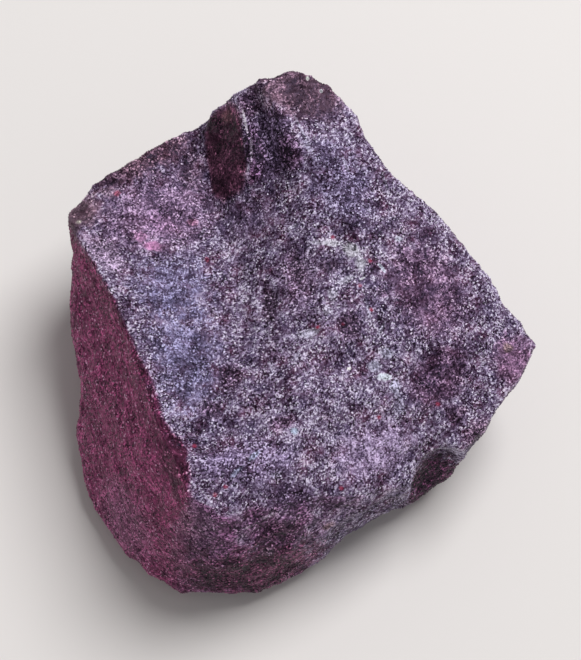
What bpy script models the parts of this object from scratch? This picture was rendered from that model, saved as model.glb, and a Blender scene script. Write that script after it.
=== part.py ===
"""Cinnabar ore specimen: one broken lump of massive, fine-grained cinnabar, lying on its flattest face.

The lump is a block between fracture faces, so it starts as the convex hull of its corners. Its upper
face is then cut back to a surface stretched over its own creases: the ridge along the left, the valley
beside it, the spine that runs down from the summit, and the notch where a flake left a steep dark wall.
Smaller flakes are cut out of the sides, the whole surface gets the unevenness of broken granular rock,
and the underside is cut flat where the lump bears on the table. Corners are in millimetres, with +Y to
the back and +Z up. The finished mesh is in metres, its origin under the middle of its bounding box.
"""

import math

import bmesh
import bpy
from mathutils import Euler, Matrix, Vector
from mathutils.geometry import delaunay_2d_cdt

MM = 0.001

# Corners that several creases share.
LEFT_CORNER = (-28, 13.5, 20)
RIDGE_SHOULDER = (-26.5, 10, 21.5)
RIDGE_HIGH = (-16.5, -15, 26)
RIDGE_GAP = (-13.5, -17, 24)
RIDGE_END = (-13, -22.5, 25)
FRONT_BROW = (-8.5, -25, 23)
FRONT_TIP = (13.5, -17.5, 14)
CHIP_END = (19, -15, 15.5)
RIGHT_CORNER = (28, -2.5, 17.5)
SUMMIT_RIGHT = (3.5, 26, 29)
SUMMIT_LEFT = (-5, 26.5, 29.5)
ARETE_TOP = (-7, 25.5, 27.5)
PLATEAU_CORNER = (-12.5, 25, 19.5)
NOTCH_CORNER = (-10.5, 15.5, 19)
ARETE_FOOT = (-7.5, 15, 22)
NOTCH_END = (-0.5, 16, 27.5)
SPINE_FOOT = (-2.5, -18, 25)

# The edges that bound the upper face, in order round it, and the creases inside it.
RIDGE = [
    LEFT_CORNER,
    RIDGE_SHOULDER,
    (-24, 5, 23.5),
    (-20.5, -2, 25),
    (-18, -10, 26),
    RIDGE_HIGH,
    RIDGE_GAP,
]
RIDGE_TAIL = [RIDGE_GAP, (-13.5, -19, 25.5), RIDGE_END]
FRONT_EDGE = [RIDGE_END, FRONT_BROW, (-2, -23, 21.5), (3.5, -21.5, 19.5), (8, -19.5, 17), FRONT_TIP]
CHIPPED_EDGE = [FRONT_TIP, (15, -15.5, 15), (17, -15, 15.5), CHIP_END]
RIGHT_EDGE = [CHIP_END, (22, -11.5, 16), (24, -8, 16.5), (26, -5, 17), RIGHT_CORNER]
BACK_EDGE = [
    RIGHT_CORNER,
    (25, 0.5, 18.5),
    (21, 6.5, 21.5),
    (16.5, 10.5, 24),
    (12, 14.5, 25.5),
    (8.5, 18, 27),
    (5.5, 22.5, 28),
    SUMMIT_RIGHT,
]
SUMMIT = [SUMMIT_RIGHT, (1.5, 27, 29.5), (-1, 27.5, 30), SUMMIT_LEFT, ARETE_TOP]
PLATEAU_EDGE = [ARETE_TOP, (-10, 25.5, 24.5), PLATEAU_CORNER, (-18.5, 21, 21), (-25, 17, 20.5), LEFT_CORNER]
NOTCH_WALL_FOOT = [PLATEAU_CORNER, (-11.5, 20.5, 19), NOTCH_CORNER]
NOTCH_FRONT = [NOTCH_CORNER, ARETE_FOOT, (-4, 16, 24.5), NOTCH_END]
ARETE = [ARETE_TOP, (-6, 19.5, 27.5), (-6, 17, 26), ARETE_FOOT]
NOTCH_HOLLOW = [(-5, 24.5, 27), (-4, 20, 26), (-3.5, 17, 25)]
NOTCH_HEAD = [SUMMIT_LEFT, (-2.5, 21.5, 29.5), (-1.5, 18.5, 29), NOTCH_END]
VALLEY = [NOTCH_CORNER, (-7.5, 7, 21.5), (-7.5, -2, 22.5), (-10, -11, 24), RIDGE_GAP]
SPINE = [
    NOTCH_END,
    (0.5, 10.5, 26.5),
    (2.5, 3.5, 26),
    (2.5, -4.5, 26),
    (0.5, -12, 25.5),
    SPINE_FOOT,
    FRONT_BROW,
]
FLANK = [(-4, 16, 24.5), (-3, 7.5, 24.5), (-2.5, -2.5, 24.5), (-4.5, -11.5, 25)]
PLATEAU_FRONT = [RIDGE_SHOULDER, (-19, 8.5, 21.5), (-13, 9.5, 21), NOTCH_CORNER]
RIGHT_SWELL = [
    NOTCH_END,
    (4.5, 15.5, 28),
    (7, 7, 26.5),
    (11.5, 1.5, 24.5),
    (16, -3.5, 21.5),
    (15, -10, 19.5),
]
OUTLINE = [RIDGE, RIDGE_TAIL, FRONT_EDGE, CHIPPED_EDGE, RIGHT_EDGE, BACK_EDGE, SUMMIT, PLATEAU_EDGE]
NOTCH = [NOTCH_WALL_FOOT, NOTCH_FRONT, ARETE, NOTCH_HOLLOW, NOTCH_HEAD]
CREASES = NOTCH + [VALLEY, FLANK, SPINE, PLATEAU_FRONT, RIGHT_SWELL]
# The cut that makes the upper face reaches this far out past its edges and this far above it.
CUT_OUTWARD, CUT_UPWARD = 12.0, 25.0
INSIDE_OUTLINE = 1  # the triangulation keeps only the triangles inside the outer ring
SAME_POINT = 1e-6

# The sides bulge at half their height in front, and end in this foot just above the table.
BULGE = [
    (-17.5, -21, 14),
    (-13, -27, 14),
    (-7.5, -28, 14),
    (-2, -26.5, 13),
    (4.5, -22.5, 11),
    (10, -18.5, 9),
    (26, -3.5, 12),
    (-3, 28, 18),
    (-24, 17, 12),
]
FOOT = [
    (-28.5, 9.5, 6),
    (-28.5, 6.5, 3),
    (-27.5, 2.5, 3),
    (-26.5, -6, 3),
    (-27, -11, 5),
    (-26, -16, 3),
    (-23.5, -21, 3),
    (-21, -24, 3),
    (-18, -26.5, 3),
    (-14.5, -28.5, 3),
    (-9.5, -28.5, 3),
    (-5, -28.5, 3),
    (0, -26.5, 3),
    (5.5, -22.5, 4),
    (12, -17.5, 4),
    (15.5, -16.5, 4),
    (17.5, -15, 4),
    (18.5, -13, 5),
    (20.5, -9, 5),
    (24.5, -3, 6),
    (21, 4, 4),
    (12, 13, 3),
    (4, 24, 4),
    (-6, 26, 3),
    (-18, 19.5, 3),
    (-25.5, 14, 4),
]
# The underside draws in from the foot to a rim, and from the rim to the patch that bears on the table.
RIM_INSET, RIM_HEIGHT = 3.5, 0.7
PATCH_INSET, PATCH_HEIGHT = 12.0, -0.7

# Flakes that broke off the sides, as ellipsoids: centre, half sizes, and turn in degrees about X, Y, Z.
FLAKE_SCARS = {
    "chip in the front right edge": ((16.8, -18, 13), (4, 3.8, 8), (0, 0, 24)),
    "scar along the front right": ((9.7, -24.5, 3), (9, 5, 9), (0, 0, 33)),
    "scar on the left face": ((-34.5, -2.5, 5), (9.4, 10, 10), (0, 0, 0)),
    "scar down the back right": ((13, 20, 14), (5, 9, 30), (0, 0, 41)),
    "hollow in the back right": ((24, 16, 6), (9, 12, 10), (0, 0, 45)),
    "scar on the back left": ((-16, 31, 8), (14, 9, 11), (0, 0, 15)),
    "scar under the right corner": ((30, -6, 2), (9, 9, 10), (0, 0, 0)),
    "scar in the underside": ((6, 6, -8), (12, 8, 9), (0, 0, 25)),
}

ELLIPSOID_SUBDIVISIONS = 4
TABLE_WIDTH, TABLE_DEPTH = 100.0, 20.0  # the block below the table's plane, which cuts the patch flat

VOXEL = 0.5  # the mesh's grain while the surface is worked
WORN_PASSES = 3  # smoothing passes, which round the broken edges
SWELL_SIZE, SWELL_HEIGHT = 7.0, 1.1
RUBBLE_SIZE, RUBBLE_HEIGHT = 2.4, 0.4
TRIANGLES = 9600
ORE_COLOUR, ORE_ROUGHNESS = (0.15, 0.10, 0.16, 1), 0.55


def clear_scene():
    for obj in list(bpy.data.objects):
        bpy.data.objects.remove(obj)


def object_of(name, bm):
    """A new object in the scene from a bmesh, which is freed."""
    bmesh.ops.recalc_face_normals(bm, faces=bm.faces)
    mesh = bpy.data.meshes.new(name)
    bm.to_mesh(mesh)
    bm.free()
    obj = bpy.data.objects.new(name, mesh)
    bpy.context.scene.collection.objects.link(obj)
    return obj


def outward(points, distance, height=None):
    """The points moved outwards in plan by this distance, in millimetres, and put at this height."""
    middle = sum((Vector(p).xy for p in points), Vector((0, 0))) / len(points)
    moved = []
    for point in points:
        arm = Vector(point).xy - middle
        place = middle + arm * (1 + distance / arm.length)
        moved.append((place.x, place.y, point[2] if height is None else height))
    return moved


def block():
    """The convex block between all the corners, before anything is cut from it."""
    rim = outward(FOOT, -RIM_INSET, RIM_HEIGHT)
    patch = outward(FOOT, -PATCH_INSET, PATCH_HEIGHT)
    bm = bmesh.new()
    for corner in {corner for line in OUTLINE + CREASES + [BULGE, FOOT, rim, patch] for corner in line}:
        bm.verts.new(Vector(corner) * MM)
    bm.verts.ensure_lookup_table()
    hull = bmesh.ops.convex_hull(bm, input=bm.verts)
    spare = set(hull["geom_interior"]) | set(hull["geom_unused"])
    bmesh.ops.delete(bm, geom=[v for v in spare if isinstance(v, bmesh.types.BMVert)], context="VERTS")
    return object_of("block", bm)


def above_upper_face():
    """The space above the upper face, whose underside is stretched over the creases."""
    edge = [corner for line in OUTLINE for corner in line[:-1]]
    outer = outward(edge, CUT_OUTWARD)
    corners = []
    for corner in outer + edge + [corner for line in CREASES for corner in line]:
        if corner not in corners:
            corners.append(corner)
    number = {corner: index for index, corner in enumerate(corners)}
    steps = [pair for line in OUTLINE + CREASES for pair in zip(line, line[1:])]
    plan = [Vector(corner).xy for corner in corners]
    creases = [(number[a], number[b]) for a, b in steps]
    ring = [number[corner] for corner in outer]
    stretched = delaunay_2d_cdt(plan, creases, [ring], INSIDE_OUTLINE, SAME_POINT)
    bm = bmesh.new()
    for place, sources in zip(stretched[0], stretched[3]):
        bm.verts.new(Vector((place.x, place.y, corners[sources[0]][2])) * MM)
    bm.verts.ensure_lookup_table()
    for face in stretched[2]:
        bm.faces.new([bm.verts[index] for index in face])
    raised = bmesh.ops.extrude_face_region(bm, geom=bm.faces[:], use_keep_orig=True)["geom"]
    risen = [v for v in raised if isinstance(v, bmesh.types.BMVert)]
    bmesh.ops.translate(bm, vec=(0, 0, CUT_UPWARD * MM), verts=risen)
    return object_of("above the upper face", bm)


def ellipsoid(name, centre, half_sizes, turn):
    bm = bmesh.new()
    bmesh.ops.create_icosphere(bm, subdivisions=ELLIPSOID_SUBDIVISIONS, radius=MM)
    bmesh.ops.scale(bm, vec=half_sizes, verts=bm.verts)
    bmesh.ops.rotate(bm, matrix=Euler([math.radians(a) for a in turn]).to_matrix(), verts=bm.verts)
    bmesh.ops.translate(bm, vec=Vector(centre) * MM, verts=bm.verts)
    return object_of(name, bm)


def below_table():
    """The space under the table's plane, which cuts the bearing patch flat."""
    bm = bmesh.new()
    bmesh.ops.create_cube(bm, size=MM)
    bmesh.ops.scale(bm, vec=(TABLE_WIDTH, TABLE_WIDTH, TABLE_DEPTH), verts=bm.verts)
    bmesh.ops.translate(bm, vec=(0, 0, -TABLE_DEPTH / 2 * MM), verts=bm.verts)
    return object_of("below the table", bm)


def cut(body, cutter):
    """Takes the cutter's shape out of the body, and keeps the cutter as a hidden helper."""
    cutter.hide_render = True
    cutter.display_type = "WIRE"
    boolean = body.modifiers.new(cutter.name, "BOOLEAN")
    boolean.operation = "DIFFERENCE"
    boolean.solver = "EXACT"
    boolean.object = cutter


def roughen(body, name, size, height):
    """Pushes the surface in and out by a noise whose features are this size, in millimetres."""
    texture = bpy.data.textures.new(name, "CLOUDS")
    texture.noise_scale = size * MM
    displace = body.modifiers.new(name, "DISPLACE")
    displace.texture = texture
    displace.texture_coords = "LOCAL"
    displace.strength = height * MM
    displace.mid_level = 0.5


def work_surface(body):
    """Evens out the mesh, wears its edges, roughens it, and thins the mesh out again."""
    remesh = body.modifiers.new("even mesh", "REMESH")
    remesh.mode = "VOXEL"
    remesh.voxel_size = VOXEL * MM
    worn = body.modifiers.new("worn edges", "SMOOTH")
    worn.iterations = WORN_PASSES
    roughen(body, "swells", SWELL_SIZE, SWELL_HEIGHT)
    roughen(body, "rubble", RUBBLE_SIZE, RUBBLE_HEIGHT)
    graph = bpy.context.evaluated_depsgraph_get()
    worked = len(body.evaluated_get(graph).data.polygons) * 2
    thin = body.modifiers.new("thinned mesh", "DECIMATE")
    thin.ratio = TRIANGLES / worked


def ore_material():
    material = bpy.data.materials.new("massive cinnabar ore")
    material.use_nodes = True
    shader = material.node_tree.nodes["Principled BSDF"]
    shader.inputs["Base Color"].default_value = ORE_COLOUR
    shader.inputs["Roughness"].default_value = ORE_ROUGHNESS
    shader.inputs["Metallic"].default_value = 0.0
    return material


def finished(body, name):
    """The body's shape as one plain mesh, with its origin under the middle of its bounding box."""
    graph = bpy.context.evaluated_depsgraph_get()
    mesh = bpy.data.meshes.new_from_object(body.evaluated_get(graph))
    low = Vector(map(min, zip(*(v.co for v in mesh.vertices))))
    high = Vector(map(max, zip(*(v.co for v in mesh.vertices))))
    mesh.transform(Matrix.Translation(-Vector(((low.x + high.x) / 2, (low.y + high.y) / 2, low.z))))
    mesh.materials.clear()
    mesh.materials.append(ore_material())
    mesh.name = name
    stone = bpy.data.objects.new(name, mesh)
    bpy.context.scene.collection.objects.link(stone)


def main():
    clear_scene()
    stone = block()
    cut(stone, above_upper_face())
    for name, (centre, half_sizes, turn) in FLAKE_SCARS.items():
        cut(stone, ellipsoid(name, centre, half_sizes, turn))
    work_surface(stone)
    cut(stone, below_table())
    finished(stone, "cinnabar_ore_specimen")
    stone.hide_render = True
    stone.display_type = "WIRE"


main()
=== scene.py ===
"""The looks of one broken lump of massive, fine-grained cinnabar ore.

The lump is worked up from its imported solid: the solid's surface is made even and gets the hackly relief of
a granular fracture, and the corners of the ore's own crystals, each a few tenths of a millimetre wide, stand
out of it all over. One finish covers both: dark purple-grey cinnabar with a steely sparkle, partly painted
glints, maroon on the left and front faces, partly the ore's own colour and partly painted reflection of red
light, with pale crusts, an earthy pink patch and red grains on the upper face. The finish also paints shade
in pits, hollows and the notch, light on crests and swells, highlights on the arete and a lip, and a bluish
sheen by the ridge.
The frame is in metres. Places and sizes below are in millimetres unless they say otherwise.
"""

import math
from typing import NamedTuple

import bmesh
import bpy
from bpy.props import FloatProperty, FloatVectorProperty, IntProperty, PointerProperty
from mathutils import Euler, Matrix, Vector


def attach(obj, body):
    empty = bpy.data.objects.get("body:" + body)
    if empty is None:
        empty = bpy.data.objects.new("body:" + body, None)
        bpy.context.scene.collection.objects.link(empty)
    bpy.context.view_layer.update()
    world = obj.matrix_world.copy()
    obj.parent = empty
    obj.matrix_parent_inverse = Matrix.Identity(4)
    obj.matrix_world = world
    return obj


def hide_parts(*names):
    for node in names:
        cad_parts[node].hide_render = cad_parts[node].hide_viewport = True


bl_info = {
    "name": "Cinnabar ore specimen",
    "version": (1, 0, 0),
    "blender": (4, 5, 0),
    "location": "3D View > Sidebar > Cinnabar",
    "description": "Builds a broken lump of granular cinnabar ore with its grains, crusts and stains",
    "category": "Add Mesh",
}

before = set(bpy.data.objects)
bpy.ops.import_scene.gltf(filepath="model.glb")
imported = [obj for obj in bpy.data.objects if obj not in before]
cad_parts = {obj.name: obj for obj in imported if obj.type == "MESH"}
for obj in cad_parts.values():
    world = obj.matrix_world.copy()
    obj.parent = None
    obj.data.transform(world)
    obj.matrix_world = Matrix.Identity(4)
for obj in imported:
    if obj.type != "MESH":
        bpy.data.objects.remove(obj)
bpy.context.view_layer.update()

MM = 0.001
NODE = "cinnabar_ore_specimen"
BODY = "root"
LUMP = "cinnabar_lump"
MASS_FINISH = "granular cinnabar ore, mass"
CORNER_FINISH = "granular cinnabar ore, crystal corners"


def linear(code):
    """The linear colour, with alpha 1, of an sRGB hex code such as "6D5C74"."""
    values = [int(code[i : i + 2], 16) / 255 for i in (0, 2, 4)]
    return (*[v / 12.92 if v <= 0.04045 else ((v + 0.055) / 1.055) ** 2.4 for v in values], 1.0)


def add(tree, kind, inputs=None, out=0, **settings):
    """Adds a node with its settings and its inputs, each a value or the socket that feeds it, and returns
    the output socket numbered out."""
    made = tree.nodes.new(kind)
    for name, value in settings.items():
        setattr(made, name, value)
    for socket, value in (inputs or {}).items():
        if isinstance(value, bpy.types.NodeSocket):
            tree.links.new(value, made.inputs[socket])
        else:
            made.inputs[socket].default_value = value
    return made.outputs[out] if len(made.outputs) else made


def span(start, end, first=0.0, last=1.0):
    """The inputs that take a range of values, from start to end, to a range from first to last."""
    return {"From Min": start, "From Max": end, "To Min": first, "To Max": last}


# --- Sizes and colours that a user may change -----------------------------------------------------


def size_property(name, description, millimetres):
    return FloatProperty(
        name=name,
        description=description,
        default=millimetres * MM,
        min=0,
        subtype="DISTANCE",
        unit="LENGTH",
    )


def colour_property(name, description, code):
    return FloatVectorProperty(
        name=name, description=description, default=linear(code), size=4, min=0, max=1, subtype="COLOR"
    )


class OreFinish(bpy.types.PropertyGroup):
    """Colours and grain of the ore."""

    pit: colour_property("Pit", "Colour of the deepest gaps between grains", "14070F")
    dark: colour_property("Dark grains", "Colour of the darkest grains", "2D182F")
    dull: colour_property("Dull grains", "Colour of the common dark grains", "4B3850")
    common: colour_property("Common grains", "Colour of the middling grains", "685670")
    pale: colour_property("Pale grains", "Colour of the pale grains", "9686A4")
    bright: colour_property("Bright grains", "Colour of the brightest grains", "DAD2E6")
    red: colour_property("Red grains", "Colour of the fresh red grains", "A02C48")
    grain: size_property("Grain", "Width of one grain of the ore", 0.2)


class LumpSizes(bpy.types.PropertyGroup):
    """Sizes of the lump's broken surface."""

    even: size_property("Even mesh", "Edge length of the mesh before the relief", 0.33)
    hackle: size_property("Hackle size", "Width of the swells of the fracture", 3.0)
    hackle_height: size_property("Hackle height", "How far the swells rise", 0.38)
    rubble: size_property("Rubble size", "Width of the knobs on the swells", 1.2)
    rubble_height: size_property("Rubble height", "How far the knobs rise", 0.18)
    grit: size_property("Grit size", "Width of the finest relief", 0.6)
    grit_height: size_property("Grit height", "How far the finest relief rises", 0.12)


class GrainSizes(bpy.types.PropertyGroup):
    """Sizes and spacing of the crystal corners that stand out of the surface. Grains finer than these are
    left to the finish."""

    least: size_property("Least width", "Width of the smallest grains", 0.13)
    greatest: size_property("Greatest width", "Width of the biggest grains", 0.34)
    upper_gap: size_property("Gap on the upper face", "Least distance between grains there", 0.15)
    side_gap: size_property("Gap on the sides", "Least distance between grains there", 0.24)
    tilt: FloatProperty(
        name="Tilt",
        description="How far a grain leans",
        default=math.radians(50),
        subtype="ANGLE",
        unit="ROTATION",
    )
    seed: IntProperty(name="Seed", description="Seed of the grains' places and turns", default=7)


class StageSettings(bpy.types.PropertyGroup):
    """The floor and the light."""

    floor: colour_property("Floor", "Colour of the floor", "DAD6D4")
    lamp_power: FloatProperty(name="Lamp power", description="Power of the soft lamp, in watts", default=8.2)
    fill: FloatProperty(name="Fill light", description="Strength of the even light all round", default=0.33)


# --- The lump's surface ----------------------------------------------------------------------------

MERGE = 1e-6  # metres
FACET_SMOOTHING = 3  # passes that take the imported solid's facets off
CREST_REACH = 10  # passes of blurring that a crest or hollow is measured against
FOOT_CLEARANCE = 1.0  # the relief fades out this near the table
LOWEST = (-1.0, -1.0, 0.0)  # metres: no place goes below the table, and X and Y are left free
SWELL_DETAIL = 2.0  # finer layers of noise on each swell, knob and grit
SWELL_ROUGHNESS = 0.5
HOLLOW_FLOOR = 0.2  # the share of a hollow, from its centre, that is sunk all the way

# Hollows and lips of the upper face and the front: centre, half sizes, turn in degrees about Z, and how far
# the surface sinks there (a lip rises, so it sinks by less than nothing).
HOLLOWS = {
    "dark pit beside the valley": ((-8.0, -8.1, 23.7), (2.2, 2.6, 2.0), 0, 0.45),
    "dark pit on the spine": ((-1.5, -13.4, 25.1), (2.4, 1.7, 2.0), 20, 0.45),
    "trough under the crust": ((0.5, 3.6, 25.0), (2.0, 5.0, 2.0), 12, 0.35),
    "pit left of the trough": ((-3.4, 1.8, 23.8), (1.6, 2.4, 2.0), 0, 0.4),
    "pit in the valley": ((-5.9, -2.0, 23.0), (1.4, 2.6, 2.0), 0, 0.3),
    "pit right of the spine": ((6.0, -2.7, 25.5), (2.2, 1.6, 2.0), 0, 0.3),
    "sag towards the right": ((15.4, -5.4, 21.1), (3.0, 3.4, 2.0), 30, 0.4),
    "pit by the right edge": ((18.4, -10.3, 17.9), (2.2, 2.4, 2.0), 0, 0.3),
    "ground between the notch's walls": ((-4.6, 20.6, 27.2), (1.7, 4.8, 2.6), 6, 0.9),
    "undercut of the chip": ((16.8, -14.0, 12.0), (3.0, 1.6, 4.0), 0, 0.5),
    "crust plate": ((5.8, 6.0, 26.2), (3.0, 2.2, 1.6), -20, -0.18),
    "bloom plate": ((10.0, -7.0, 22.6), (2.2, 1.6, 1.6), 0, -0.15),
    "lip across the front": ((-4.4, -24.0, 20.4), (2.4, 1.0, 0.5), 25, -0.35),
    "hollow under the lip": ((-3.4, -25.2, 18.2), (3.4, 2.0, 1.4), 20, 0.45),
    "lilac knob": ((-6.0, -18.9, 25.0), (2.8, 1.0, 1.6), 38, -0.2),
}


# The ridge between the left face and the upper one: X at each Y, from the front to the back.
RIDGE = [
    (-32.0, -12.0),
    (-22.8, -12.0),
    (-19.5, -12.3),
    (-16.9, -12.6),
    (-15.9, -13.1),
    (-14.8, -14.4),
    (-13.7, -15.2),
    (-11.4, -15.8),
    (-9.0, -16.6),
    (-6.6, -17.9),
    (-4.0, -18.9),
    (-1.5, -20.1),
    (1.2, -21.1),
    (3.9, -22.6),
    (6.7, -24.0),
    (9.9, -25.9),
    (13.6, -27.4),
    (18.0, -32.0),
]
RIDGE_WORN = 0.6  # how far the ridge's lip is worn down on its left
RIDGE_LIP = (-1.0, 0.2)  # the lip's span to the right of the ridge
RIDGE_SHELF = (-6.0, -2.5)  # where the worn ground runs out, down the left face
RIDGE_END = (-22.5, -19.5)  # and where it runs out in Y, at the front


def input_sockets(tree):
    items = tree.interface.items_tree
    return [item for item in items if item.item_type == "SOCKET" and item.in_out == "INPUT"]


def modifier_tree(name, sizes):
    """A new Geometry Nodes tree with a geometry input, a named input for each size, and a geometry output."""
    tree = bpy.data.node_groups.new(name, "GeometryNodeTree")
    tree.interface.new_socket("Geometry", in_out="INPUT", socket_type="NodeSocketGeometry")
    tree.interface.new_socket("Geometry", in_out="OUTPUT", socket_type="NodeSocketGeometry")
    for label, value in sizes.items():
        kind = "NodeSocketInt" if isinstance(value, int) else "NodeSocketFloat"
        tree.interface.new_socket(label, in_out="INPUT", socket_type=kind)
    return tree, tree.nodes.new("NodeGroupInput").outputs


def with_tree(obj, tree, sizes):
    """The plain mesh that the tree makes of the object, at these sizes. The object keeps no modifier."""
    modifier = obj.modifiers.new(tree.name, "NODES")
    modifier.node_group = tree
    for socket in input_sockets(tree):
        if socket.name in sizes:
            modifier[socket.identifier] = sizes[socket.name]
    return applied(obj)


def applied(obj):
    """The mesh that the object's modifiers make, with all its attributes. The modifiers are removed."""
    graph = bpy.context.evaluated_depsgraph_get()
    evaluated = obj.evaluated_get(graph)
    mesh = bpy.data.meshes.new_from_object(evaluated, preserve_all_data_layers=True, depsgraph=graph)
    obj.modifiers.clear()
    if not len(mesh.polygons):
        raise RuntimeError(f"{obj.name}: its modifiers made no faces")
    return mesh


def even_copy(settings):
    """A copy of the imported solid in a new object, its mesh made even and its facets smoothed off."""
    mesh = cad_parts[NODE].data.copy()
    mesh.name = LUMP
    mesh.materials.clear()
    bm = bmesh.new()
    bm.from_mesh(mesh)
    bmesh.ops.remove_doubles(bm, verts=bm.verts, dist=MERGE)
    bm.to_mesh(mesh)
    bm.free()
    lump = bpy.data.objects.new(LUMP, mesh)
    bpy.context.scene.collection.objects.link(lump)
    remesh = lump.modifiers.new("even mesh", "REMESH")
    remesh.mode = "VOXEL"
    remesh.voxel_size = settings.even
    smooth = lump.modifiers.new("facets off", "SMOOTH")
    smooth.iterations = FACET_SMOOTHING
    lump.data = applied(lump)
    return lump


def within(tree, place, centre, half_sizes, turn, boxy=False):
    """How far each place is from the centre, as a share of the half sizes: 1 on the surface of the ellipsoid,
    or of the round-cornered box."""
    if turn:
        place = add(
            tree,
            "ShaderNodeVectorRotate",
            {"Vector": place, "Center": centre, "Angle": -math.radians(turn)},
            rotation_type="Z_AXIS",
        )
    apart = add(tree, "ShaderNodeVectorMath", {0: place, 1: centre}, operation="SUBTRACT")
    shares = add(tree, "ShaderNodeVectorMath", {0: apart, 1: half_sizes}, operation="DIVIDE")
    if not boxy:
        return add(tree, "ShaderNodeVectorMath", {0: shares}, out=1, operation="LENGTH")
    squared = add(tree, "ShaderNodeVectorMath", {0: shares, 1: shares}, operation="MULTIPLY")
    length = add(tree, "ShaderNodeVectorMath", {0: squared}, out=1, operation="LENGTH")
    return add(tree, "ShaderNodeMath", {0: length}, operation="SQRT")


def ramp(tree, value, stops):
    """The colour at this value on a ramp with these stops, each a value and a colour."""
    first, last = stops[0][0], stops[-1][0]
    band = tree.nodes.new("ShaderNodeValToRGB")
    elements = band.color_ramp.elements
    while len(elements) < len(stops):
        elements.new(0.5)
    for element, (stop, colour) in zip(elements, stops):
        element.position = (stop - first) / (last - first)
        element.color = colour
    factor = add(tree, "ShaderNodeMapRange", {"Value": value, **span(first, last)})
    tree.links.new(factor, band.inputs[0])
    return band.outputs[0]


def past_ridge(tree, place):
    """How far each place, in millimetres, lies to the right of the ridge in X. The left face is below 0."""
    left, right = min(x for _, x in RIDGE), max(x for _, x in RIDGE)
    greys = [(y, (*[(x - left) / (right - left)] * 3, 1.0)) for y, x in RIDGE]
    y = add(tree, "ShaderNodeSeparateXYZ", {0: place}, out=1)
    x = add(tree, "ShaderNodeSeparateXYZ", {0: place}, out=0)
    grey = ramp(tree, y, greys)
    ridge = add(tree, "ShaderNodeMapRange", {"Value": grey, "To Min": left, "To Max": right})
    return add(tree, "ShaderNodeMath", {0: x, 1: ridge}, operation="SUBTRACT")


def relief_tree(sizes):
    """Raises and sinks the surface as granular ore breaks: swells, knobs on them, grit, and named hollows."""
    tree, given = modifier_tree("Granular fracture", sizes)
    position = add(tree, "GeometryNodeInputPosition")
    normal = add(tree, "GeometryNodeInputNormal")
    blurred = add(
        tree,
        "GeometryNodeBlurAttribute",
        {"Value": position, "Iterations": CREST_REACH},
        data_type="FLOAT_VECTOR",
    )
    apart = add(tree, "ShaderNodeVectorMath", {0: position, 1: blurred}, operation="SUBTRACT")
    # How far a place stands proud of those round it; the finish paints light on crests and shade in hollows
    # from it.
    crest = add(tree, "ShaderNodeVectorMath", {0: apart, 1: normal}, out=1, operation="DOT_PRODUCT")
    stone = add(
        tree,
        "GeometryNodeStoreNamedAttribute",
        {"Geometry": given["Geometry"], "Name": "facing", "Value": normal},
        data_type="FLOAT_VECTOR",
        domain="POINT",
    )
    stone = add(
        tree,
        "GeometryNodeStoreNamedAttribute",
        {"Geometry": stone, "Name": "crest", "Value": crest},
        domain="POINT",
    )
    rise = None
    for label in ("Hackle", "Rubble", "Grit"):
        scale = add(tree, "ShaderNodeMath", {0: 1.0, 1: given[label + " size"]}, operation="DIVIDE")
        noise = add(
            tree,
            "ShaderNodeTexNoise",
            {"Vector": position, "Scale": scale, "Detail": SWELL_DETAIL, "Roughness": SWELL_ROUGHNESS},
        )
        centred = add(tree, "ShaderNodeMath", {0: noise, 1: 0.5}, operation="SUBTRACT")
        height = add(tree, "ShaderNodeMath", {0: 2.0, 1: given[label + " height"]}, operation="MULTIPLY")
        start = 0.0 if rise is None else rise
        rise = add(tree, "ShaderNodeMath", {0: centred, 1: height, 2: start}, operation="MULTIPLY_ADD")
    in_mm = add(tree, "ShaderNodeVectorMath", {0: position, "Scale": 1 / MM}, operation="SCALE")
    for centre, half_sizes, turn, depth in HOLLOWS.values():
        distance = within(tree, in_mm, centre, half_sizes, turn)
        share = add(
            tree,
            "ShaderNodeMapRange",
            {"Value": distance, **span(HOLLOW_FLOOR, 1.0, 1.0, 0.0)},
            interpolation_type="SMOOTHSTEP",
        )
        rise = add(tree, "ShaderNodeMath", {0: share, 1: -depth * MM, 2: rise}, operation="MULTIPLY_ADD")
    past = past_ridge(tree, in_mm)
    inputs = {"Value": past, **span(*RIDGE_LIP, -RIDGE_WORN * MM, 0.0)}
    worn = add(tree, "ShaderNodeMapRange", inputs)
    along_y = add(tree, "ShaderNodeSeparateXYZ", {0: in_mm}, out=1)
    for value, (start, end) in ((past, RIDGE_SHELF), (along_y, RIDGE_END)):
        share = add(
            tree,
            "ShaderNodeMapRange",
            {"Value": value, **span(start, end)},
            interpolation_type="SMOOTHSTEP",
        )
        worn = add(tree, "ShaderNodeMath", {0: worn, 1: share}, operation="MULTIPLY")
    rise = add(tree, "ShaderNodeMath", {0: worn, 1: rise}, operation="ADD")
    height = add(tree, "ShaderNodeSeparateXYZ", {0: position}, out=2)
    clear = add(tree, "ShaderNodeMapRange", {"Value": height, **span(0.0, FOOT_CLEARANCE * MM)})
    rise = add(tree, "ShaderNodeMath", {0: rise, 1: clear}, operation="MULTIPLY")
    offset = add(tree, "ShaderNodeVectorMath", {0: normal, "Scale": rise}, operation="SCALE")
    stone = add(tree, "GeometryNodeSetPosition", {"Geometry": stone, "Offset": offset})
    raised = add(tree, "GeometryNodeInputPosition")
    above = add(tree, "ShaderNodeVectorMath", {0: raised, 1: LOWEST}, operation="MAXIMUM")
    stone = add(tree, "GeometryNodeSetPosition", {"Geometry": stone, "Position": above})
    add(tree, "NodeGroupOutput", {"Geometry": stone})
    return tree


# --- The grains --------------------------------------------------------------------------------------

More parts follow.
